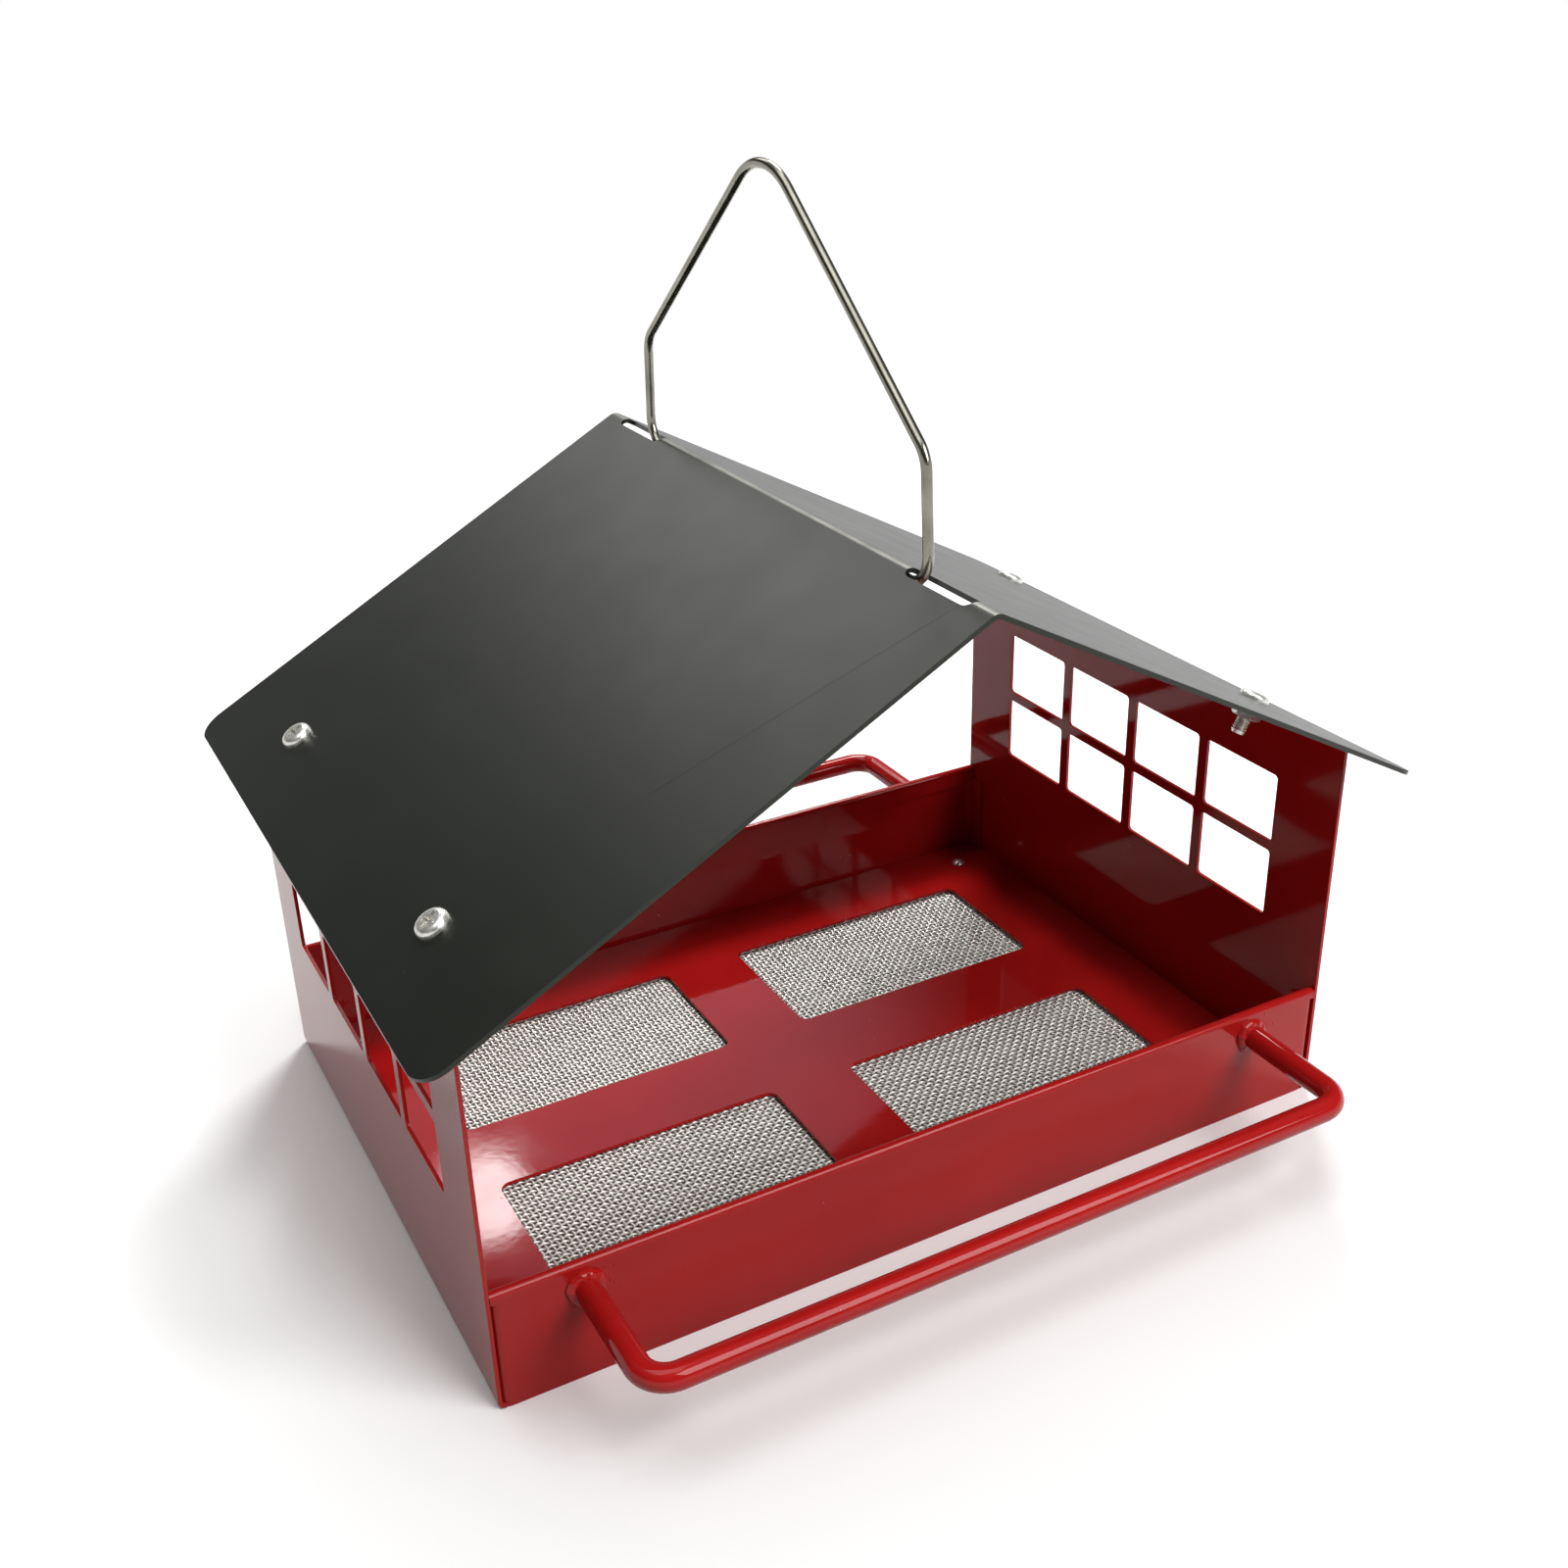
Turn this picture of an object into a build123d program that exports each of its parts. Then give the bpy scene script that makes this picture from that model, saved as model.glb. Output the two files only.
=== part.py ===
from build123d import *
import math
import os

os.makedirs("parts", exist_ok=True)

# Platform bird feeder with a house shape, in millimetres.
# The origin is at the middle of its base, +Z is up, the ridge runs along Y,
# the windowed end walls stand at -X and +X, and the perches run along X.

# Overall sizes
tray_width = 240.0
tray_depth = 168.0
tray_wall_height = 32.8
ridge_height = 171.0
roof_rise = 70.5
eave_overhang = 11.2
gable_overhang = 13.9

# Sheet metal
body_sheet = 1.0
roof_sheet = 1.2
base_bend_radius = 2.0
corner_bend_radius = 2.2
flange_bend_radius = 2.0
roof_bend_radius = 3.0
bend_gap = 0.3
nest_gap = 0.1
fold_flat = 0.06
cut_overrun = 5.0

# Windows of the end walls
window_columns = 4
window_rows = 2
window_border = 22.4
window_sill = 45.4
pane_height = 19.9
bar_width = 3.6
crossbar_height = 3.0
pane_corner_radius = 1.2

# Lips and flanges of the walls
base_lip = 6.0
roof_flange = 17.0
side_flange = 8.0
side_flange_drop = 3.0
hem_gap = 0.8
hem_length = 6.0

# Floor with its four openings
floor_height = 3.0
floor_edge_radius = 1.6
floor_border = 26.1
middle_rib_width = 24.2
cross_rib_width = 26.2
opening_corner_radius = 3.0
mesh_thickness = 1.2
mesh_columns = 12
mesh_rows = 6
mesh_strand = 1.6

# Rivets through the floor and the mesh
rivet_inset_x = 14.0
rivet_inset_y = 13.0
rivet_radius = 1.2
rivet_head_radius = 2.2
rivet_head_height = 1.1
rivet_tail_radius = 1.9
rivet_tail_height = 0.6
rivet_gap = 0.05

# Screws and nuts of the roof
screw_inset_x = 6.9
screw_inset_y = 28.2
screw_radius = 2.0
screw_length = 10.0
thread_pitch = 0.7
thread_depth = 0.35
screw_hole_radius = 2.2
screw_head_radius = 4.1
screw_head_height = 1.9
screw_head_rim = 0.4
recess_span = 4.4
recess_slot = 0.95
recess_depth = 1.2
screw_tip_chamfer = 0.4
nut_flats = 7.0
nut_height = 3.2
nut_chamfer = 0.5
thread_gap = 0.05

# Slots in the ridge
slot_inset = 8.3
slot_length = 25.4
slot_width = 4.5
roof_corner_radius = 7.0

# Wire hanger
wire_radius = 1.25
wire_gap = 0.4
hanger_leg_inset = 7.7
hanger_leg_slant = 1.6
hanger_shoulder_height = 26.0
hanger_peak_height = 83.5
hanger_foot_length = 19.0
hanger_foot_bend = 7.5
hanger_shoulder_bend = 8.0
hanger_peak_bend = 19.0

# Perches
perch_radius = 3.2
perch_inset = 23.2
perch_reach = 34.4
perch_height = 25.6
perch_bend_radius = 7.0

# Weld beads at the perches
weld_leg = 1.7
weld_lumps = 7
weld_lump_radius = 1.3
weld_swell_share = 0.25

# Places that follow from the sizes above
half_width = tray_width / 2
half_depth = tray_depth / 2
roof_half_span = half_width + eave_overhang
roof_depth = tray_depth + 2 * gable_overhang
screw_x = half_width - screw_inset_x
screw_y = half_depth - screw_inset_y
perch_arm_x = half_width - perch_inset
inner_x = half_width - body_sheet
inner_y = half_depth - body_sheet
roof_slope = math.atan2(roof_rise, roof_half_span)
slope_ratio = roof_rise / roof_half_span
roof_drop = roof_sheet / math.cos(roof_slope)
under_ridge = ridge_height - roof_drop
wall_top = under_ridge - slope_ratio * half_width
slope_normal_x = math.sin(roof_slope)
slope_normal_z = math.cos(roof_slope)


def sheet_profile(points, radii, thickness, side):
    """Closed outline of a bent sheet, given the line of one face."""
    FilletPolyline(*points, radius=radii)
    offset(amount=thickness, side=side)


def slope_plane(side_sign, x, y, drop):
    """Plane on the roof at a place, its z axis out of the roof, sunk by drop."""
    surface = ridge_height - slope_ratio * x
    origin = (
        side_sign * (x - drop * slope_normal_x),
        y,
        surface - drop * slope_normal_z,
    )
    normal = (side_sign * slope_normal_x, 0, slope_normal_z)
    return Plane(origin=origin, x_dir=(0, 1, 0), z_dir=normal)


corner_names = {
    "front_left": (-1, -1),
    "front_right": (1, -1),
    "back_left": (-1, 1),
    "back_right": (1, 1),
}

# End walls, each bent from one sheet with a lip below and a flange under the roof
window_width = tray_depth - 2 * window_border
pane_width = (window_width - (window_columns - 1) * bar_width) / window_columns
window_height = window_rows * pane_height + (window_rows - 1) * crossbar_height
window_middle = window_sill + window_height / 2
flange_run = roof_flange * math.cos(roof_slope)
flange_climb = roof_flange * math.sin(roof_slope)

for side_name, side_sign in (("left", -1), ("right", 1)):
    with BuildPart() as end_wall:
        with BuildSketch(Plane.XZ):
            with BuildLine():
                sheet_profile(
                    [
                        (side_sign * (half_width - base_lip), 0),
                        (side_sign * half_width, 0),
                        (side_sign * half_width, wall_top),
                        (side_sign * (half_width - flange_run), wall_top + flange_climb),
                    ],
                    [base_bend_radius, flange_bend_radius],
                    body_sheet,
                    Side.LEFT if side_sign > 0 else Side.RIGHT,
                )
            make_face()
        extrude(amount=half_depth, both=True)
        # the panes of the window
        with BuildSketch(Plane.YZ.offset(side_sign * (half_width - flange_bend_radius))):
            with Locations((0, window_middle)):
                with GridLocations(
                    pane_width + bar_width,
                    pane_height + crossbar_height,
                    window_columns,
                    window_rows,
                ):
                    RectangleRounded(pane_width, pane_height, pane_corner_radius)
        extrude(amount=side_sign * cut_overrun, mode=Mode.SUBTRACT)
        # room at both ends of the lip for the front and back walls
        lip_end_x = half_width - (base_lip + base_bend_radius) / 2
        lip_end_length = base_lip - base_bend_radius
        with Locations(
            (side_sign * lip_end_x, half_depth, 0),
            (side_sign * lip_end_x, -half_depth, 0),
        ):
            Box(
                lip_end_length,
                2 * (corner_bend_radius + nest_gap),
                2 * base_bend_radius,
                mode=Mode.SUBTRACT,
            )
        # holes for the roof screws
        for end_sign in (-1, 1):
            hole_plane = slope_plane(side_sign, screw_x, end_sign * screw_y, roof_sheet)
            with BuildSketch(hole_plane):
                Circle(screw_hole_radius)
            extrude(amount=cut_overrun, both=True, mode=Mode.SUBTRACT)
    end_wall.part.label = f"end_wall_{side_name}"
    export_step(end_wall.part, f"parts/end_wall_{side_name}.step")

# Front and back walls, with side flanges inside the end walls and a hemmed rim
hem_radius = (2 * body_sheet + hem_gap) / 2
hem_reach = inner_x - nest_gap

for wall_name, wall_sign in (("front", -1), ("back", 1)):
    face_y = wall_sign * half_depth
    with BuildPart() as tray_wall:
        with BuildSketch(Plane.XY):
            with BuildLine():
                sheet_profile(
                    [
                        (-inner_x, face_y - wall_sign * side_flange),
                        (-inner_x, face_y),
                        (inner_x, face_y),
                        (inner_x, face_y - wall_sign * side_flange),
                    ],
                    corner_bend_radius,
                    body_sheet,
                    Side.LEFT if wall_sign < 0 else Side.RIGHT,
                )
            make_face()
        extrude(amount=tray_wall_height - hem_radius)
        # the side flanges stand on the floor and stay below the rim
        flange_y = face_y - wall_sign * (corner_bend_radius + side_flange) / 2
        flange_length = side_flange - corner_bend_radius
        with Locations((inner_x, flange_y, 0), (-inner_x, flange_y, 0)):
            Box(
                4 * body_sheet,
                flange_length,
                2 * floor_height,
                mode=Mode.SUBTRACT,
            )
        with Locations((inner_x, flange_y, tray_wall_height), (-inner_x, flange_y, tray_wall_height)):
            Box(
                4 * body_sheet,
                flange_length,
                2 * (hem_radius + side_flange_drop),
                mode=Mode.SUBTRACT,
            )
        # the rim is folded over inwards
        with BuildSketch(Plane.YZ):
            with BuildLine():
                rim_line = [
                    (face_y, tray_wall_height - 2 * hem_radius),
                    (face_y, tray_wall_height),
                    (face_y - wall_sign * 2 * hem_radius, tray_wall_height),
                    (face_y - wall_sign * 2 * hem_radius, tray_wall_height - hem_length),
                ]
                sheet_profile(
                    rim_line,
                    hem_radius - fold_flat / 2,
                    body_sheet,
                    Side.RIGHT if wall_sign < 0 else Side.LEFT,
                )
            make_face()
        extrude(amount=hem_reach, both=True)
        # the lower corners are notched and rounded to lie in the bends of the end walls
        with BuildSketch(Plane.XZ):
            for side_sign in (-1, 1):
                bend_x = side_sign * (half_width - base_bend_radius)
                with Locations((bend_x + side_sign * (base_bend_radius - nest_gap), 0)):
                    Rectangle(2 * base_bend_radius, 2 * base_bend_radius)
                with Locations((bend_x, base_bend_radius)):
                    Circle(base_bend_radius - body_sheet - nest_gap, mode=Mode.SUBTRACT)
        extrude(amount=half_depth + cut_overrun, both=True, mode=Mode.SUBTRACT)
    tray_wall.part.label = f"{wall_name}_wall"
    export_step(tray_wall.part, f"parts/{wall_name}_wall.step")

# Floor plate with four openings, its front and back edges turned down
opening_width = half_width - floor_border - middle_rib_width / 2
opening_depth = half_depth - floor_border - cross_rib_width / 2
opening_x = (opening_width + middle_rib_width) / 2
opening_y = (opening_depth + cross_rib_width) / 2
rivet_x = half_width - rivet_inset_x
rivet_y = half_depth - rivet_inset_y

with BuildPart() as floor_plate:
    with BuildSketch(Plane.YZ):
        with BuildLine():
            sheet_profile(
                [
                    (-inner_y, 0),
                    (-inner_y, floor_height),
                    (inner_y, floor_height),
                    (inner_y, 0),
                ],
                floor_edge_radius,
                body_sheet,
                Side.RIGHT,
            )
        make_face()
    extrude(amount=inner_x - nest_gap, both=True)
    # the turned edges stop short of the end walls' lips
    turned_end_x = half_width - base_lip / 2
    with Locations((turned_end_x, 0, 0), (-turned_end_x, 0, 0)):
        Box(base_lip, tray_depth, 2 * (floor_height - body_sheet), mode=Mode.SUBTRACT)
    # notches for the vertical bends of the walls
    with GridLocations(2 * inner_x, 2 * inner_y, 2, 2):
        notch = 2 * (corner_bend_radius + bend_gap)
        Box(notch, notch, 4 * floor_height, mode=Mode.SUBTRACT)
    with BuildSketch(Plane.XY.offset(floor_height)):
        with GridLocations(2 * opening_x, 2 * opening_y, 2, 2):
            RectangleRounded(opening_width, opening_depth, opening_corner_radius)
    extrude(amount=-cut_overrun, mode=Mode.SUBTRACT)
    with GridLocations(2 * rivet_x, 2 * rivet_y, 2, 2):
        Cylinder(rivet_radius + rivet_gap, 4 * floor_height, mode=Mode.SUBTRACT)
floor_plate.part.label = "floor_plate"
export_step(floor_plate.part, "parts/floor_plate.step")

# Mesh under the floor, one sheet with a field of gaps below each opening
mesh_top = floor_height - body_sheet
mesh_bottom = mesh_top - mesh_thickness
mesh_half_x = rivet_x + (inner_x - rivet_x) / 2
mesh_half_y = rivet_y + (inner_y - rivet_y) / 2
mesh_pitch_x = opening_width / mesh_columns
mesh_pitch_y = opening_depth / mesh_rows

with BuildPart() as mesh_screen:
    with BuildSketch(Plane.XY.offset(mesh_bottom)):
        Rectangle(2 * mesh_half_x, 2 * mesh_half_y)
        with GridLocations(2 * opening_x, 2 * opening_y, 2, 2):
            with GridLocations(mesh_pitch_x, mesh_pitch_y, mesh_columns, mesh_rows):
                Rectangle(mesh_pitch_x - mesh_strand, mesh_pitch_y - mesh_strand, mode=Mode.SUBTRACT)
        with GridLocations(2 * rivet_x, 2 * rivet_y, 2, 2):
            Circle(rivet_radius + rivet_gap, mode=Mode.SUBTRACT)
    extrude(amount=mesh_thickness)
mesh_screen.part.label = "mesh_screen"
export_step(mesh_screen.part, "parts/mesh_screen.step")

# Rivets, domed above the floor and spread below the mesh
head_dome_radius = (rivet_head_radius**2 + rivet_head_height**2) / (2 * rivet_head_height)
rivet_top = floor_height + rivet_head_height
rivet_foot = mesh_bottom - rivet_tail_height

for corner_name, (sign_x, sign_y) in corner_names.items():
    rivet_plane = Plane(
        origin=(sign_x * rivet_x, sign_y * rivet_y, 0),
        x_dir=(1, 0, 0),
        z_dir=(0, -1, 0),
    )
    with BuildPart() as rivet:
        with BuildSketch(rivet_plane):
            with BuildLine():
                Polyline(
                    (0, rivet_top),
                    (0, rivet_foot),
                    (rivet_tail_radius, rivet_foot),
                    (rivet_tail_radius, mesh_bottom),
                    (rivet_radius, mesh_bottom),
                    (rivet_radius, floor_height),
                    (rivet_head_radius, floor_height),
                )
                RadiusArc((rivet_head_radius, floor_height), (0, rivet_top), -head_dome_radius)
            make_face()
        revolve(axis=Axis(rivet_plane.origin, (0, 0, 1)))
    rivet.part.label = f"floor_rivet_{corner_name}"
    export_step(rivet.part, f"parts/floor_rivet_{corner_name}.step")

# Roof, one sheet bent at the ridge, with two slots for the hanger's feet
eave_height = ridge_height - roof_rise
slot_y = roof_depth / 2 - slot_inset - slot_length / 2

with BuildPart() as roof:
    with BuildSketch(Plane.XZ):
        with BuildLine():
            sheet_profile(
                [
                    (-roof_half_span, eave_height),
                    (0, ridge_height),
                    (roof_half_span, eave_height),
                ],
                roof_bend_radius,
                roof_sheet,
                Side.RIGHT,
            )
        make_face()
    extrude(amount=roof_depth / 2, both=True)
    straight_edges = roof.edges().filter_by(GeomType.LINE)
    corner_edges = straight_edges.filter_by(lambda edge: edge.length < 2 * roof_sheet)
    fillet(corner_edges, roof_corner_radius)
    with BuildSketch(Plane.XY.offset(ridge_height)):
        with Locations((0, slot_y), (0, -slot_y)):
            SlotOverall(slot_length, slot_width, rotation=90)
    extrude(amount=-2 * cut_overrun, mode=Mode.SUBTRACT)
    for side_sign in (-1, 1):
        for end_sign in (-1, 1):
            hole_plane = slope_plane(side_sign, screw_x, end_sign * screw_y, 0)
            with BuildSketch(hole_plane):
                Circle(screw_hole_radius)
            extrude(amount=cut_overrun, both=True, mode=Mode.SUBTRACT)
roof.part.label = "roof"
export_step(roof.part, "parts/roof.step")

# Screws with a domed head and a cross recess, and their hexagon nuts
recess_turns = {"front_left": 24, "front_right": 61, "back_left": 8, "back_right": 47}
nut_turns = {"front_left": 12, "front_right": 34, "back_left": 51, "back_right": 5}
nut_drop = roof_sheet + body_sheet
nut_corner_radius = nut_flats / 2 / math.cos(math.radians(30))
thread_turns = int((screw_length - screw_tip_chamfer) / thread_pitch)
thread_line = [(screw_radius, 0)]
for turn in range(thread_turns):
    crest_height = -thread_pitch * turn
    thread_line.append((screw_radius - thread_depth, crest_height - thread_pitch / 2))
    thread_line.append((screw_radius, crest_height - thread_pitch))
screw_tip = (screw_radius - screw_tip_chamfer, -screw_length)

for corner_name, (sign_x, sign_y) in corner_names.items():
    seat = slope_plane(sign_x, screw_x, sign_y * screw_y, 0)
    with BuildPart() as screw:
        with Locations(seat):
            Cylinder(screw_head_radius, screw_head_height, align=(Align.CENTER, Align.CENTER, Align.MIN))
        head_edges = screw.edges().sort_by(Axis(seat.origin, seat.z_dir))
        fillet(head_edges[-1], screw_head_height - screw_head_rim)
        # the shank, with a groove for each turn of its thread
        with BuildSketch(Plane(origin=seat.origin, x_dir=seat.x_dir, z_dir=-seat.y_dir)):
            with BuildLine():
                Polyline((0, 0), *thread_line, screw_tip, (0, -screw_length), close=True)
            make_face()
        revolve(axis=Axis(seat.origin, seat.z_dir))
        with BuildSketch(seat.offset(screw_head_height)):
            Rectangle(recess_span, recess_slot, rotation=recess_turns[corner_name])
            Rectangle(recess_slot, recess_span, rotation=recess_turns[corner_name])
        extrude(amount=-recess_depth, mode=Mode.SUBTRACT)
    screw.part.label = f"roof_screw_{corner_name}"
    export_step(screw.part, f"parts/roof_screw_{corner_name}.step")

    nut_seat = slope_plane(sign_x, screw_x, sign_y * screw_y, nut_drop)
    with BuildPart() as nut:
        with Locations(nut_seat):
            Cylinder(nut_corner_radius, nut_height, align=(Align.CENTER, Align.CENTER, Align.MAX))
        chamfer(nut.edges().filter_by(GeomType.CIRCLE), nut_chamfer)
        with BuildSketch(nut_seat):
            RegularPolygon(nut_corner_radius, 6, rotation=nut_turns[corner_name])
        extrude(amount=-nut_height, mode=Mode.INTERSECT)
        with BuildSketch(nut_seat):
            Circle(screw_radius + thread_gap)
        extrude(amount=-nut_height, mode=Mode.SUBTRACT)
    nut.part.label = f"roof_nut_{corner_name}"
    export_step(nut.part, f"parts/roof_nut_{corner_name}.step")

# Wire hanger, its feet turned inwards below the ridge
leg_y = slot_y - slot_length / 2 + hanger_leg_inset
shoulder_y = leg_y - hanger_leg_slant
foot_height = under_ridge - (wire_radius + wire_gap) / math.cos(roof_slope)
shoulder_height = ridge_height + hanger_shoulder_height
peak_height = ridge_height + hanger_peak_height

with BuildPart() as hanger:
    with BuildLine(Plane.YZ) as hanger_route:
        FilletPolyline(
            (-leg_y + hanger_foot_length, foot_height),
            (-leg_y, foot_height),
            (-shoulder_y, shoulder_height),
            (0, peak_height),
            (shoulder_y, shoulder_height),
            (leg_y, foot_height),
            (leg_y - hanger_foot_length, foot_height),
            radius=[
                hanger_foot_bend,
                hanger_shoulder_bend,
                hanger_peak_bend,
                hanger_shoulder_bend,
                hanger_foot_bend,
            ],
        )
    with BuildSketch(Plane(origin=hanger_route.line @ 0, z_dir=hanger_route.line % 0)):
        Circle(wire_radius)
    sweep()
hanger.part.label = "hanger"
export_step(hanger.part, "parts/hanger.step")

# Perches, bent rods whose ends stand on the front and back walls
for wall_name, wall_sign in (("front", -1), ("back", 1)):
    face_y = wall_sign * half_depth
    bar_y = wall_sign * (half_depth + perch_reach)
    with BuildPart() as perch:
        with BuildLine(Plane.XY.offset(perch_height)) as perch_route:
            FilletPolyline(
                (-perch_arm_x, face_y),
                (-perch_arm_x, bar_y),
                (perch_arm_x, bar_y),
                (perch_arm_x, face_y),
                radius=perch_bend_radius,
            )
        with BuildSketch(Plane(origin=perch_route.line @ 0, z_dir=perch_route.line % 0)):
            Circle(perch_radius)
        sweep()
    perch.part.label = f"{wall_name}_perch"
    export_step(perch.part, f"parts/{wall_name}_perch.step")

# Weld beads, lumpy rings between each rod end and its wall
for corner_name, (sign_x, sign_y) in corner_names.items():
    bead_plane = Plane(
        origin=(sign_x * perch_arm_x, sign_y * half_depth, perch_height),
        x_dir=(1, 0, 0),
        z_dir=(0, sign_y, 0),
    )
    with BuildPart() as bead:
        with Locations(bead_plane):
            Cone(
                perch_radius + weld_leg,
                perch_radius + weld_leg / 4,
                weld_leg,
                align=(Align.CENTER, Align.CENTER, Align.MIN),
            )
        for lump in range(weld_lumps):
            lump_angle = math.radians(360 * lump / weld_lumps)
            lump_radius = weld_lump_radius * (1 + weld_swell_share * math.sin(3 * lump_angle + sign_x))
            lump_reach = perch_radius + weld_leg / 2
            with Locations(
                bead_plane.offset(weld_leg / 4).location
                * Location((lump_reach * math.cos(lump_angle), lump_reach * math.sin(lump_angle), 0))
            ):
                Sphere(lump_radius)
        with BuildSketch(bead_plane):
            Circle(perch_radius)
        extrude(amount=cut_overrun, mode=Mode.SUBTRACT)
        with BuildSketch(bead_plane):
            Circle(perch_radius + 4 * weld_leg)
        extrude(amount=-cut_overrun, mode=Mode.SUBTRACT)
    bead.part.label = f"perch_weld_{corner_name}"
    export_step(bead.part, f"parts/perch_weld_{corner_name}.step")
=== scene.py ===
"""Looks of the platform bird feeder: its finishes, mesh and welds, with floor, light and camera."""

import math

import bmesh
import bpy
import numpy as np
from mathutils import Matrix, Vector


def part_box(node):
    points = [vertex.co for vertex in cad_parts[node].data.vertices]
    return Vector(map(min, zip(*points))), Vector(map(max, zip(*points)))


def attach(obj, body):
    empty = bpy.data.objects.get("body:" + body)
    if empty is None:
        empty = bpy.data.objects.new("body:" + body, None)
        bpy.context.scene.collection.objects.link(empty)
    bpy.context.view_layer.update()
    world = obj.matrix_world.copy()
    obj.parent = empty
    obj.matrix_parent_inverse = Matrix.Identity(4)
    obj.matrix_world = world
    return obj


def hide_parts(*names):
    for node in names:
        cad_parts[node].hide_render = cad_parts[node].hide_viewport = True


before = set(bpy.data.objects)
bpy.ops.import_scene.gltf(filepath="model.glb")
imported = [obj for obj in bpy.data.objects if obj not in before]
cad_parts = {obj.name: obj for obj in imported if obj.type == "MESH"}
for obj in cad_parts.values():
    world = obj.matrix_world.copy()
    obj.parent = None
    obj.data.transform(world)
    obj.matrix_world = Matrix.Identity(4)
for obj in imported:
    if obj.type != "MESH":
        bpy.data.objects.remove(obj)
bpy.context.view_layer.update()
mm = 0.001

CORNERS = ("front_left", "front_right", "back_left", "back_right")
RED_SHEETS = ("end_wall_left", "end_wall_right", "front_wall", "back_wall", "floor_plate")
RED_RODS = ("front_perch", "back_perch")
HARDWARE = ("roof_screw", "roof_nut", "floor_rivet")
ZINC = tuple(f"{kind}_{corner}" for kind in HARDWARE for corner in CORNERS)


# Shader helpers. Object coordinates are the frame's own, in metres, so a scale of 400 is a grain
# of 2.5 mm. Noise lies mostly between 0.3 and 0.7, and its middle between 0.35 and 0.65.


class Nodes:
    """A node tree with the few nodes that the finishes, the floor and the world share."""

    def __init__(self, tree, coords):
        self.tree = tree
        self.coords = tree.nodes.new("ShaderNodeTexCoord").outputs[coords]

    def link(self, source, target):
        self.tree.links.new(source, target)

    def axis(self, name):
        """The X, Y or Z of the coordinates."""
        split = self.tree.nodes.new("ShaderNodeSeparateXYZ")
        self.link(self.coords, split.inputs[0])
        return split.outputs[name]

    def remap(self, source, low, high, to_low, to_high, interpolation="LINEAR"):
        node = self.tree.nodes.new("ShaderNodeMapRange")
        node.interpolation_type = interpolation
        node.inputs["From Min"].default_value = low
        node.inputs["From Max"].default_value = high
        node.inputs["To Min"].default_value = to_low
        node.inputs["To Max"].default_value = to_high
        self.link(source, node.inputs["Value"])
        return node.outputs["Result"]

    def math(self, operation, a, b):
        node = self.tree.nodes.new("ShaderNodeMath")
        node.operation = operation
        for socket, value in zip(node.inputs, (a, b)):
            if isinstance(value, (int, float)):
                socket.default_value = value
            else:
                self.link(value, socket)
        return node.outputs["Value"]

    def blend(self, factor, a, b):
        """Colour a where the factor is 0 and b where it is 1."""
        node = self.tree.nodes.new("ShaderNodeMix")
        node.data_type = "RGBA"
        self.link(factor, node.inputs["Factor"])
        for name, value in (("A", a), ("B", b)):
            socket = [s for s in node.inputs if s.name == name and s.type == "RGBA"][0]
            if isinstance(value, tuple):
                socket.default_value = (*value, 1.0)
            else:
                self.link(value, socket)
        return [s for s in node.outputs if s.type == "RGBA"][0]

    def seen(self):
        """1 for the rays that show a backdrop, straight, mirrored or through something, else 0."""
        rays = self.tree.nodes.new("ShaderNodeLightPath").outputs
        either = self.math("MAXIMUM", rays["Is Camera Ray"], rays["Is Glossy Ray"])
        return self.math("MAXIMUM", either, rays["Is Transmission Ray"])


class Finish(Nodes):
    """A material with its Principled shader, noises and bumps."""

    def __init__(self, name):
        self.material = bpy.data.materials.new(name)
        self.material.use_nodes = True
        super().__init__(self.material.node_tree, "Object")
        self.shader = self.tree.nodes["Principled BSDF"]

    def set(self, **values):
        for socket, value in values.items():
            self.shader.inputs[socket.replace("_", " ")].default_value = value
        return self

    def use(self, **sources):
        for socket, source in sources.items():
            self.link(source, self.shader.inputs[socket.replace("_", " ")])
        return self.material

    def noise(self, scale, detail=2.0, stretch=(1, 1, 1)):
        """A noise of one grain, drawn out along an axis where its stretch is below 1."""
        mapping = self.tree.nodes.new("ShaderNodeMapping")
        mapping.inputs["Scale"].default_value = stretch
        self.link(self.coords, mapping.inputs["Vector"])
        texture = self.tree.nodes.new("ShaderNodeTexNoise")
        texture.inputs["Scale"].default_value = scale
        texture.inputs["Detail"].default_value = detail
        texture.inputs["Roughness"].default_value = 0.5
        self.link(mapping.outputs["Vector"], texture.inputs["Vector"])
        return texture.outputs["Fac"]

    def spread(self, noise, low, high):
        """The usual range of a noise, spread from low to high."""
        return self.remap(noise, 0.3, 0.7, low, high)

    def cloud(self, scale):
        """Soft clouds from 0 to 1."""
        return self.remap(self.noise(scale, detail=3), 0.35, 0.65, 0, 1)

    def mottle(self, scale):
        """Finer clouds with more 0 than 1."""
        return self.remap(self.noise(scale, detail=4), 0.35, 0.7, 0, 1)

    def dust(self, scale, size, patch_scale, bare):
        """Small round specks, one to a cell, and only where a wider noise is above bare."""
        texture = self.tree.nodes.new("ShaderNodeTexVoronoi")
        texture.inputs["Scale"].default_value = scale
        self.link(self.coords, texture.inputs["Vector"])
        specks = self.remap(texture.outputs["Distance"], size, size * 0.5, 0.0, 1.0)
        patches = self.remap(self.noise(patch_scale), bare, bare + 0.06, 0, 1)
        return self.math("MULTIPLY", specks, patches)

    def bump(self, height, depth, normal=None):
        """Raises the surface by the height times the depth, on top of another bump's normal."""
        node = self.tree.nodes.new("ShaderNodeBump")
        node.inputs["Distance"].default_value = depth
        self.link(height, node.inputs["Height"])
        if normal is not None:
            self.link(normal, node.inputs["Normal"])
        return node.outputs["Normal"]


# Finishes

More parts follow.
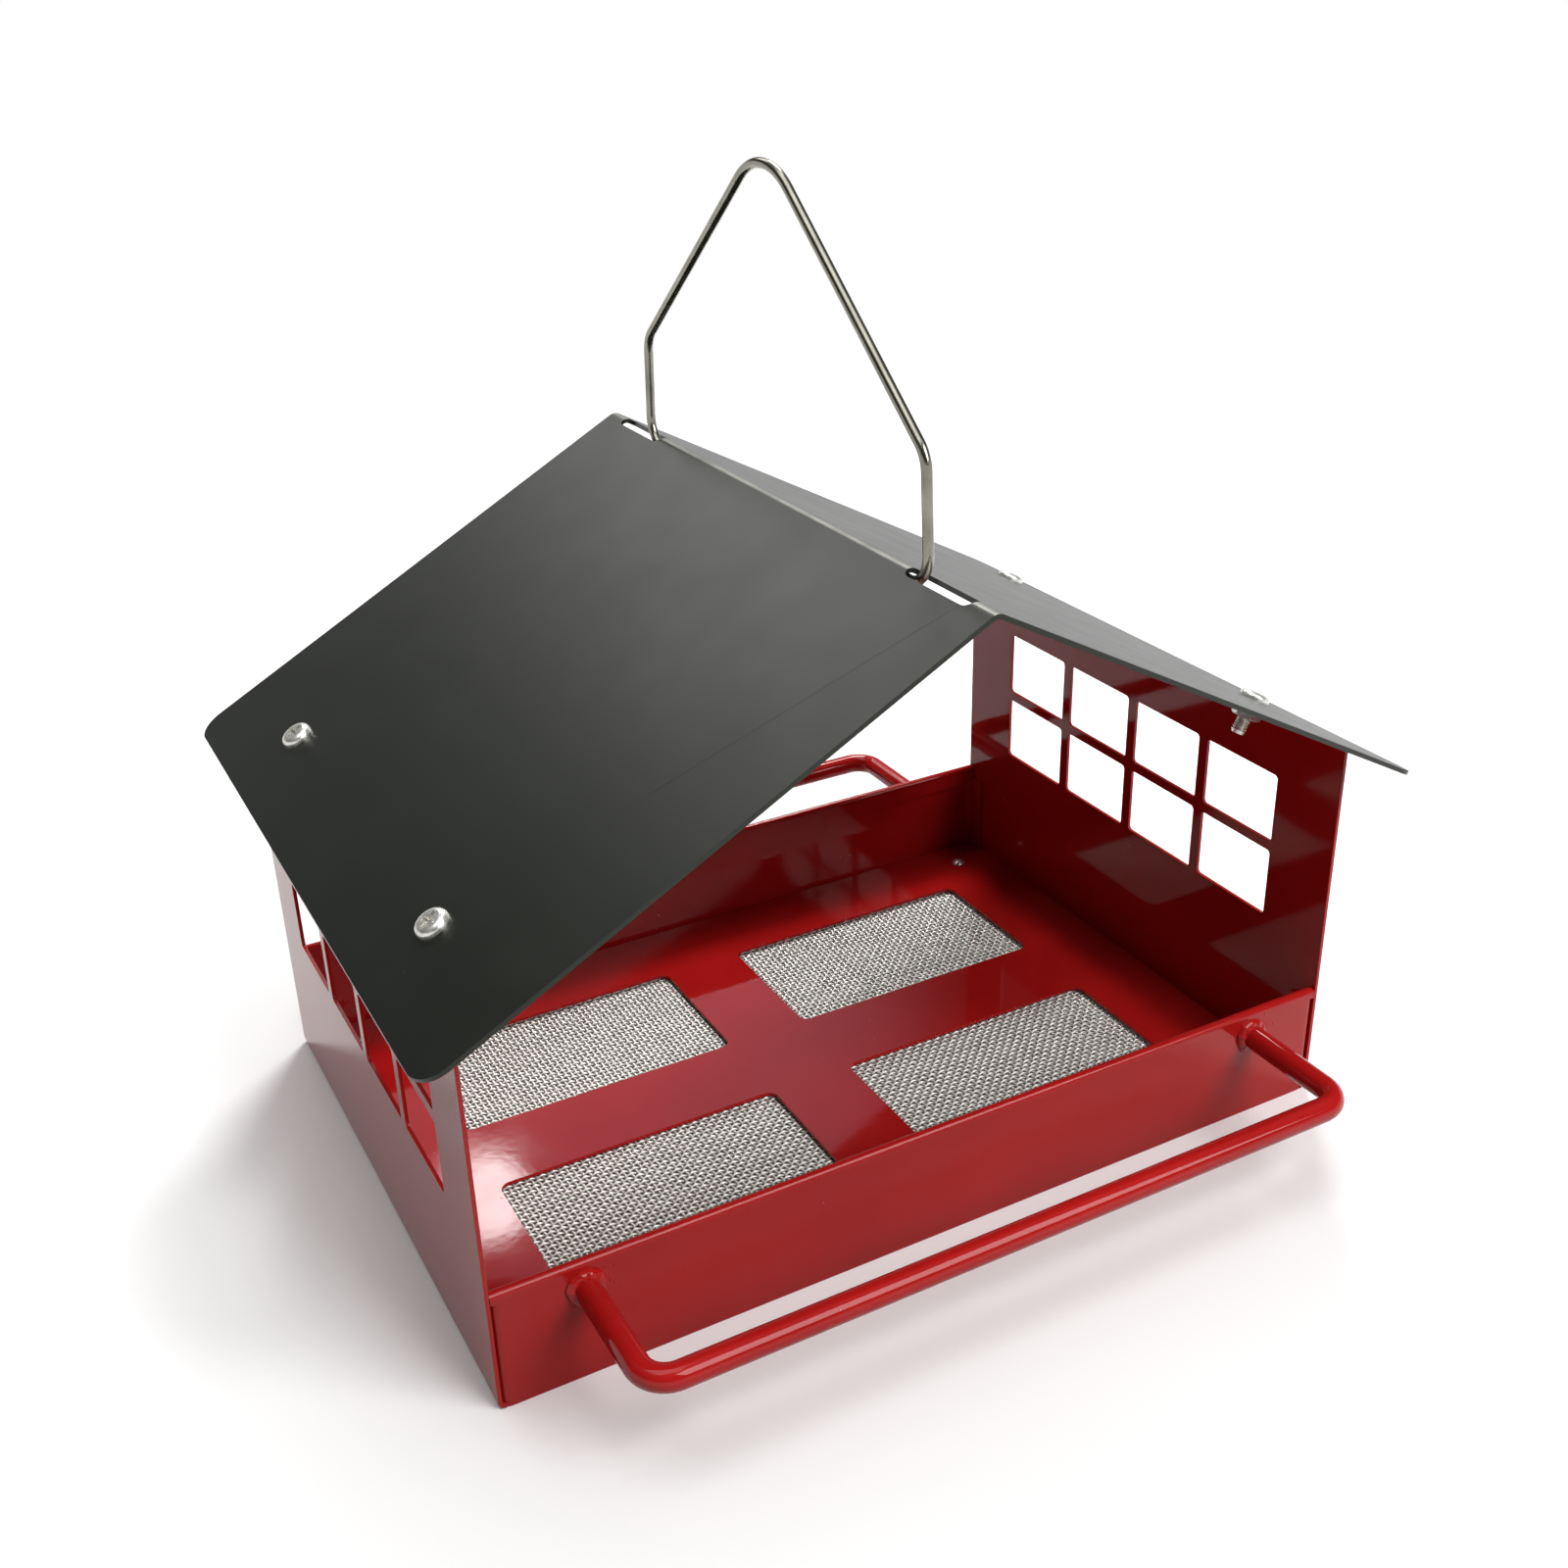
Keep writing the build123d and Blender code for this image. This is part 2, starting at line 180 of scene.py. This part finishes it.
# Depths below the roof's top over which a pale band, painted as the highlight of the ridge's bend,
# fades in.
RIDGE_HIGHLIGHT_DEPTH = 0.15 * mm
RIDGE_HIGHLIGHT_FULL_DEPTH = 0.3 * RIDGE_HIGHLIGHT_DEPTH


def red_enamel():
    """Glossy red paint with a slight orange peel, cloudy colour and a few dust specks."""
    f = Finish("red_enamel").set(IOR=1.5, Specular_IOR_Level=0.24)
    dust = f.dust(260, 0.07, 60, 0.60)
    paint_colour = f.blend(f.cloud(24), (0.375, 0.0080, 0.0078), (0.425, 0.0095, 0.0090))
    polish = f.spread(f.noise(90, detail=4), 0.04, 0.08)
    waves = f.bump(f.noise(20, detail=1), 0.12 * mm)
    peel = f.bump(f.noise(420, detail=1), 0.005 * mm, waves)
    return f.use(
        Base_Color=f.blend(f.math("MULTIPLY", dust, 0.55), paint_colour, (0.62, 0.52, 0.48)),
        Roughness=f.math("ADD", polish, f.math("MULTIPLY", dust, 0.4)),
        Normal=f.bump(dust, 0.05 * mm, peel),
    )


def painted_ridge_highlight(f):
    """Up to 1 on the outer face of the roof's bend, where a pale painted highlight stands in for
    the bend's sheen, and 0 elsewhere.
    """
    _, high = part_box("roof")
    band = f.remap(f.axis("Z"), high.z - RIDGE_HIGHLIGHT_DEPTH, high.z - RIDGE_HIGHLIGHT_FULL_DEPTH, 0, 1)
    return f.math("MULTIPLY", band, f.remap(f.noise(90, detail=3), 0.3, 0.6, 0.45, 1))


def black_powder_coat():
    """Satin black powder coat with a fine grain and a soft sheen, and a pale painted highlight
    along the ridge.
    """
    f = Finish("black_powder_coat")
    f.set(IOR=1.5, Specular_IOR_Level=0.36, Specular_Tint=(1.0, 1.0, 0.90, 1.0))
    colour = f.blend(f.cloud(18), (0.0030, 0.0046, 0.0028), (0.0044, 0.0060, 0.0040))
    dust = f.dust(180, 0.05, 40, 0.62)
    colour = f.blend(f.math("MULTIPLY", dust, 0.4), colour, (0.4, 0.39, 0.37))
    return f.use(
        # Pale painted highlight along the ridge, over the black coat.
        Base_Color=f.blend(painted_ridge_highlight(f), colour, (0.20, 0.195, 0.17)),
        Roughness=f.spread(f.noise(60, detail=3), 0.34, 0.37),
        Normal=f.bump(f.noise(1500, detail=2), 0.003 * mm),
    )


def bright_zinc():
    """Bright plated hardware with a slight yellow cast and fine scratches."""
    f = Finish("bright_zinc").set(Metallic=0.75)
    tarnish = f.remap(f.noise(700, detail=4), 0.4, 0.7, 0, 1)
    scratch = f.noise(900, detail=3, stretch=(1, 0.12, 1))
    return f.use(
        Base_Color=f.blend(tarnish, (0.82, 0.81, 0.77), (0.64, 0.62, 0.56)),
        Roughness=f.spread(scratch, 0.20, 0.32),
        Normal=f.bump(scratch, 0.006 * mm),
    )


def drawn_wire():
    """Bright drawn steel wire, darker than zinc, with die lines along it and a faint mottle."""
    f = Finish("drawn_wire").set(Metallic=1.0)
    lines = f.noise(1600, detail=3, stretch=(1, 0.03, 0.05))
    return f.use(
        Base_Color=f.blend(f.mottle(160), (0.30, 0.288, 0.242), (0.21, 0.200, 0.166)),
        Roughness=f.spread(lines, 0.16, 0.28),
        Normal=f.bump(lines, 0.004 * mm),
    )


def mesh_wire():
    """Pale galvanised steel with painted shade: bright on top of the woven wires and darker down in
    the weave.
    """
    f = Finish("mesh_wire").set(Metallic=0.55)
    low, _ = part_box("mesh_screen")
    foot = low.z - MESH_SAG
    # Painted shade: 0 down in the weave, where the wires take the darker colour, and 1 on top,
    # where they are bright.
    painted_light_by_height = f.remap(f.axis("Z"), foot + MESH_WIRE_RADIUS, foot + 3 * MESH_WIRE_RADIUS, 0, 1)
    bright = f.blend(f.mottle(220), (0.97, 0.95, 0.90), (0.90, 0.88, 0.83))
    return f.use(
        Base_Color=f.blend(painted_light_by_height, (0.50, 0.48, 0.43), bright),
        Roughness=f.spread(f.noise(1200, detail=2), 0.36, 0.48),
        Normal=f.bump(f.noise(2600, detail=2), 0.004 * mm),
    )


def paint(names, material):
    for name in names:
        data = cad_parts[name].data
        data.materials.clear()
        data.materials.append(material)


# Edges of the CAD pieces, rounded a little so that they catch the light, where they turn by more
# than an angle in degrees. Their weighted normals leave the flat faces flat.

SHEET_EDGE = 0.30 * mm
ROOF_EDGE = 0.12 * mm
EDGE_JOIN = 0.002 * mm
EDGE_ANGLE = 40


def soften_edges(names, width):
    for name in names:
        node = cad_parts[name]
        weld = node.modifiers.new("join", "WELD")
        weld.merge_threshold = EDGE_JOIN
        bevel = node.modifiers.new("soft_edges", "BEVEL")
        bevel.width = width
        bevel.segments = 2
        bevel.limit_method = "ANGLE"
        bevel.angle_limit = math.radians(EDGE_ANGLE)
        bevel.harden_normals = True
        flat = node.modifiers.new("flat_faces", "WEIGHTED_NORMAL")
        flat.keep_sharp = True


# Meshes of the pieces that the scene adds


def tube_faces(rings, sides, first=0, flip=False):
    """Quads between rings of points that follow each other, wound the other way if flipped."""
    row = first + sides * np.arange(rings - 1)[:, None]
    a = row + np.arange(sides)
    b = row + (np.arange(sides) + 1) % sides
    order = (a, a + sides, b + sides, b) if flip else (a, b, b + sides, a + sides)
    return np.stack(order, axis=-1).reshape(-1, 4)


def smooth_piece(name, data, material):
    data.polygons.foreach_set("use_smooth", [True] * len(data.polygons))
    data.materials.append(material)
    piece = bpy.data.objects.new(name, data)
    bpy.context.scene.collection.objects.link(piece)
    return piece


def mesh_piece(name, vertices, faces, material):
    data = bpy.data.meshes.new(name)
    data.from_pydata(vertices.tolist(), [], faces.tolist())
    return smooth_piece(name, data, material)


# Woven mesh under the floor. Each wire wanders a little, and not as its neighbours do.

MESH_PITCH = 1.6 * mm
MESH_WIRE_RADIUS = 0.37 * mm
MESH_SAG = 0.6 * mm
MESH_WIRE_SIDES = 5
MESH_STEPS = 2
MESH_WANDER = 0.12 * mm
MESH_WANDER_LENGTH = 9 * mm
MESH_WANDER_SHIFT = 1.7
MESH_WANDER_TURN = 0.9


def wires(low, high, across, height, phase):
    """Tubes along axis 1 - across, one at each pitch, waved over and under the crossing ones."""
    along = 1 - across
    count = int((high[across] - low[across]) / MESH_PITCH)
    steps = int((high[along] - low[along]) / MESH_PITCH) * MESH_STEPS
    middle = [(low[axis] + high[axis]) / 2 for axis in (0, 1)]
    ring = 2 * math.pi * np.arange(MESH_WIRE_SIDES) / MESH_WIRE_SIDES
    step = np.arange(steps + 1) - steps // 2
    vertices, faces = [], []
    for index in range(count):
        place = index - count // 2
        centre = np.zeros((steps + 1, 3))
        centre[:, along] = middle[along] + step * MESH_PITCH / MESH_STEPS
        shift = MESH_WANDER_SHIFT * math.sin(MESH_WANDER_TURN * place)
        wander = MESH_WANDER * np.sin(centre[:, along] / MESH_WANDER_LENGTH + shift)
        centre[:, across] = middle[across] + place * MESH_PITCH + wander
        wave = np.cos(math.pi * (step / MESH_STEPS + place + phase))
        centre[:, 2] = height + MESH_WIRE_RADIUS * wave
        tube = np.repeat(centre[:, None, :], MESH_WIRE_SIDES, axis=1)
        tube[:, :, across] += MESH_WIRE_RADIUS * np.cos(ring)
        tube[:, :, 2] += MESH_WIRE_RADIUS * np.sin(ring)
        vertices.append(tube.reshape(-1, 3))
        first = index * (steps + 1) * MESH_WIRE_SIDES
        faces.append(tube_faces(steps + 1, MESH_WIRE_SIDES, first))
    return np.concatenate(vertices), np.concatenate(faces)


def woven_mesh(material):
    low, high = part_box("mesh_screen")
    height = low.z + 2 * MESH_WIRE_RADIUS - MESH_SAG
    warp, warp_faces = wires(low, high, 0, height, 0)
    weft, weft_faces = wires(low, high, 1, height, 1)
    vertices = np.concatenate([warp, weft])
    faces = np.concatenate([warp_faces, weft_faces + len(warp)])
    piece = mesh_piece("woven_mesh", vertices, faces, material)
    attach(piece, "feeder")
    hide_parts("mesh_screen")


# Weld beads round the ends of the rods, and the spatter beside them. The spatter's reach is in rod
# radii, and its stretch and thickness are in drop sizes.

BEAD_TURNS = 72
BEAD_ROWS = 8
BEAD_WIDTH = 1.75 * mm
BEAD_HEIGHT = 1.55 * mm
BEAD_SINK = 0.05 * mm
BEAD_RIPPLES = 11
BEAD_UNEVEN_WIDTH = 0.10
BEAD_UNEVEN_HEIGHT = 0.12
BEAD_RIPPLE_WIDTH = 0.05
BEAD_RIPPLE_HEIGHT = 0.07
SPATTER_SEED = 11
SPATTER_COUNT = 9
SPATTER_REACH = (1.75, 2.6)
SPATTER_SIZES = (0.22, 0.5)
SPATTER_STRETCH = (0.8, 1.3)
SPATTER_THICKNESS = 0.6
SPATTER_SQUEEZE = 0.75


def bead_place(corner):
    """Middle of a rod's end on its wall, the rod's radius, and the way out of the wall along Y."""
    side = "front" if "front" in corner else "back"
    rod_low, rod_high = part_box(f"{side}_perch")
    wall_low, wall_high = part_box(f"{side}_wall")
    radius = (rod_high.z - rod_low.z) / 2
    x = rod_low.x + radius if "left" in corner else rod_high.x - radius
    y = wall_low.y if side == "front" else wall_high.y
    out = -1 if side == "front" else 1
    return Vector((x, y, (rod_low.z + rod_high.z) / 2)), radius, out


def weld_beads(material):
    """A rippled collar at each rod end in place of its plain bead."""
    turn = 2 * math.pi * np.arange(BEAD_TURNS) / BEAD_TURNS
    for index, corner in enumerate(CORNERS):
        middle, radius, out = bead_place(corner)
        ripple = np.sin(BEAD_RIPPLES * turn + 2 * index)
        swell = 1 + BEAD_UNEVEN_WIDTH * np.sin(3 * turn + index) + BEAD_RIPPLE_WIDTH * ripple
        rise = 1 + BEAD_UNEVEN_HEIGHT * np.sin(2 * turn + 2.1 * index) + BEAD_RIPPLE_HEIGHT * ripple
        vertices = []
        for row in range(BEAD_ROWS + 1):
            tilt = math.pi / 2 * row / BEAD_ROWS
            reach = radius - BEAD_SINK + (BEAD_WIDTH + BEAD_SINK) * swell * math.cos(tilt)
            height = BEAD_HEIGHT * rise * math.sin(tilt)
            x = middle.x + reach * np.cos(turn)
            z = middle.z + reach * np.sin(turn)
            vertices.append(np.stack([x, middle.y + out * height, z], axis=-1))
        faces = tube_faces(BEAD_ROWS + 1, BEAD_TURNS, flip=out > 0)
        piece = mesh_piece(f"weld_bead_{corner}", np.concatenate(vertices), faces, material)
        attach(piece, "feeder")
        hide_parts(f"perch_weld_{corner}")


def weld_spatter(material):
    """Small drops of metal under the paint, thrown round each weld."""
    rng = np.random.default_rng(SPATTER_SEED)
    for corner in CORNERS:
        middle, radius, _ = bead_place(corner)
        form = bmesh.new()
        for _ in range(SPATTER_COUNT):
            turn = rng.uniform(0, 2 * math.pi)
            reach = radius * rng.uniform(*SPATTER_REACH)
            size = rng.uniform(*SPATTER_SIZES) * mm
            x = middle.x + reach * math.cos(turn)
            z = middle.z + SPATTER_SQUEEZE * reach * math.sin(turn)
            scale = (size, SPATTER_THICKNESS * size, size * rng.uniform(*SPATTER_STRETCH), 1)
            shape = Matrix.Translation(Vector((x, middle.y, z))) @ Matrix.Diagonal(scale)
            bmesh.ops.create_icosphere(form, subdivisions=2, radius=1, matrix=shape)
        data = bpy.data.meshes.new(f"weld_spatter_{corner}")
        form.to_mesh(data)
        form.free()
        piece = smooth_piece(f"weld_spatter_{corner}", data, material)
        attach(piece, "feeder")


# Stage: floor, light and camera. The floor fades to plain white between two distances.

FLOOR_SIZE = 60000 * mm
WHITE_FROM = 300 * mm
WHITE_BY = 1000 * mm
FLOOR_DROP = 0.02 * mm
FLOOR_BOUNCE = (0.35, 0.345, 0.34)
# Painted shadow on the table below the tray: its colour, and the width over which it fades in from
# the tray's edges.
TRAY_SHADOW_COLOUR = (0.26, 0.25, 0.23)
TRAY_SHADOW_FADE = 4 * mm


def painted_tray_shadow(f):
    """1 on the table below the tray, where a painted shadow stands for the little light that comes
    through the mesh, and 0 beside it.
    """
    _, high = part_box("floor_plate")
    inside = 1.0
    for axis, reach in (("X", high.x), ("Y", high.y)):
        away = f.math("ABSOLUTE", f.axis(axis), 0.0)
        inside = f.math("MULTIPLY", f.remap(away, reach, reach - TRAY_SHADOW_FADE, 0, 1), inside)
    return inside


def pale_floor():
    """A matt pale table that takes the shadow, painted darker below the tray as its shadow, and
    that turns plain white away from the feeder.
    """
    bpy.ops.mesh.primitive_plane_add(size=FLOOR_SIZE, location=(0, 0, -FLOOR_DROP))
    floor = bpy.context.object
    floor.name = "floor"
    f = Finish("pale_floor").set(Roughness=0.8, Specular_IOR_Level=0.2)
    tint = f.blend(f.cloud(6), (0.90, 0.90, 0.895), (0.915, 0.915, 0.91))
    bounced = f.tree.nodes.new("ShaderNodeLightPath").outputs["Is Diffuse Ray"]
    tint = f.blend(bounced, tint, FLOOR_BOUNCE)
    # The table is painted dark below the tray, as its shadow.
    f.use(Base_Color=f.blend(painted_tray_shadow(f), tint, TRAY_SHADOW_COLOUR))
    length = f.tree.nodes.new("ShaderNodeVectorMath")
    length.operation = "LENGTH"
    f.link(f.coords, length.inputs[0])
    away = f.remap(length.outputs["Value"], WHITE_FROM, WHITE_BY, 0, 1)
    white = f.tree.nodes.new("ShaderNodeEmission")
    mix = f.tree.nodes.new("ShaderNodeMixShader")
    f.link(f.math("MULTIPLY", f.seen(), away), mix.inputs[0])
    f.link(f.shader.outputs[0], mix.inputs[1])
    f.link(white.outputs[0], mix.inputs[2])
    f.link(mix.outputs[0], f.tree.nodes["Material Output"].inputs["Surface"])
    floor.data.materials.append(f.material)


LAMP_AIM = Vector((0, 0, 100 * mm))


def soft_light(name, azimuth, elevation, distance, size, power):
    """A square lamp that faces the feeder, placed as a camera at those angles would be."""
    turn, tilt = math.radians(azimuth), math.radians(elevation)
    toward = Vector(
        (-math.sin(turn) * math.cos(tilt), -math.cos(turn) * math.cos(tilt), math.sin(tilt))
    )
    lamp = bpy.data.lights.new(name, "AREA")
    lamp.size = size
    lamp.energy = power
    holder = bpy.data.objects.new(name, lamp)
    holder.location = LAMP_AIM + distance * toward
    holder.rotation_euler = toward.to_track_quat("Z", "Y").to_euler()
    bpy.context.scene.collection.objects.link(holder)


# The world by the sine of the elevation, and its pale patches: azimuth and elevation, the angles
# from there at which a patch is full and gone, and its colour. All angles are in degrees.

WORLD_LOW = (0.16, 0.155, 0.145)
WORLD_MIDDLE = (0.060, 0.062, 0.060)
WORLD_TOP = (0.40, 0.41, 0.41)
WHITE = (1, 1, 1)
WORLD_RAMP = ((0.0, WORLD_LOW), (0.30, WORLD_MIDDLE), (0.60, WORLD_MIDDLE), (0.95, WORLD_TOP))
GLOWS = (
    (0, 35, 2, 12, (4.8, 4.8, 4.8)),
    (22, 36, 3, 11, (1.10, 1.05, 1.25)),
    (15.3, 38.6, 0.7, 1.7, (24.0, 24.0, 24.0)),
)
WHITE_BELOW = 9
WHITE_GONE = 13


def soft_world():
    """A dim room, paler near the table and the ceiling, with three pale patches behind the feeder.

    Near the table it shows white, as the table does, and lights the feeder as the room does.
    """
    world = bpy.data.worlds.new("soft_studio")
    world.use_nodes = True
    w = Nodes(world.node_tree, "Generated")
    height = w.axis("Z")
    room = w.tree.nodes.new("ShaderNodeValToRGB")
    w.link(height, room.inputs["Fac"])
    stops = room.color_ramp.elements
    for stop, (place, colour) in zip(stops, WORLD_RAMP[:2]):
        stop.position = place
        stop.color = (*colour, 1)
    for place, colour in WORLD_RAMP[2:]:
        stops.new(place).color = (*colour, 1)
    colour = room.outputs["Color"]
    for azimuth, elevation, full, none, glow in GLOWS:
        turn, tilt = math.radians(azimuth), math.radians(elevation)
        dot = w.tree.nodes.new("ShaderNodeVectorMath")
        dot.operation = "DOT_PRODUCT"
        dot.inputs[1].default_value = (
            math.sin(turn) * math.cos(tilt),
            math.cos(turn) * math.cos(tilt),
            math.sin(tilt),
        )
        w.link(w.coords, dot.inputs[0])
        gone, whole = math.cos(math.radians(none)), math.cos(math.radians(full))
        patch = w.remap(dot.outputs["Value"], gone, whole, 0, 1, "SMOOTHSTEP")
        colour = w.blend(patch, colour, glow)
    gone, whole = math.sin(math.radians(WHITE_GONE)), math.sin(math.radians(WHITE_BELOW))
    low = w.remap(height, gone, whole, 0, 1)
    colour = w.blend(w.math("MULTIPLY", w.seen(), low), colour, WHITE)
    w.link(colour, w.tree.nodes["Background"].inputs["Color"])
    bpy.context.scene.world = world


# The camera as worked out from the photograph: where it stands and how it is turned, in degrees

CAMERA_PLACE = (-195.3 * mm, -373.0 * mm, 298.3 * mm)
CAMERA_AZIMUTH = -27.76
CAMERA_ELEVATION = 26.25
CAMERA_ROLL = -1.65
CAMERA_LENS = 40.15
CAMERA_SENSOR = 36.0
CAMERA_NEAR = 10 * mm


def photo_camera():
    data = bpy.data.cameras.new("photo_camera")
    data.sensor_fit = "HORIZONTAL"
    data.sensor_width = CAMERA_SENSOR
    data.lens = CAMERA_LENS
    data.clip_start = CAMERA_NEAR
    camera = bpy.data.objects.new("photo_camera", data)
    turn = Matrix.Rotation(math.radians(CAMERA_AZIMUTH), 4, "Z")
    tilt = Matrix.Rotation(math.radians(90 - CAMERA_ELEVATION), 4, "X")
    roll = Matrix.Rotation(math.radians(CAMERA_ROLL), 4, "Z")
    camera.matrix_world = Matrix.Translation(CAMERA_PLACE) @ turn @ tilt @ roll
    bpy.context.scene.collection.objects.link(camera)
    bpy.context.scene.camera = camera


photo_camera()
red = red_enamel()
paint(RED_SHEETS + RED_RODS, red)
paint(("roof",), black_powder_coat())
paint(("hanger",), drawn_wire())
paint(ZINC, bright_zinc())
soften_edges(RED_SHEETS, SHEET_EDGE)
soften_edges(("roof",), ROOF_EDGE)
weld_beads(red)
weld_spatter(red)
woven_mesh(mesh_wire())
pale_floor()
soft_world()
soft_light("back_lamp", azimuth=215, elevation=49, distance=1.4, size=0.42, power=15)
soft_light("front_lamp", azimuth=-25, elevation=41, distance=1.5, size=0.9, power=20)
soft_light("top_lamp", azimuth=90, elevation=82, distance=1.5, size=1.2, power=11)

bpy.context.scene.view_settings.view_transform = "Standard"
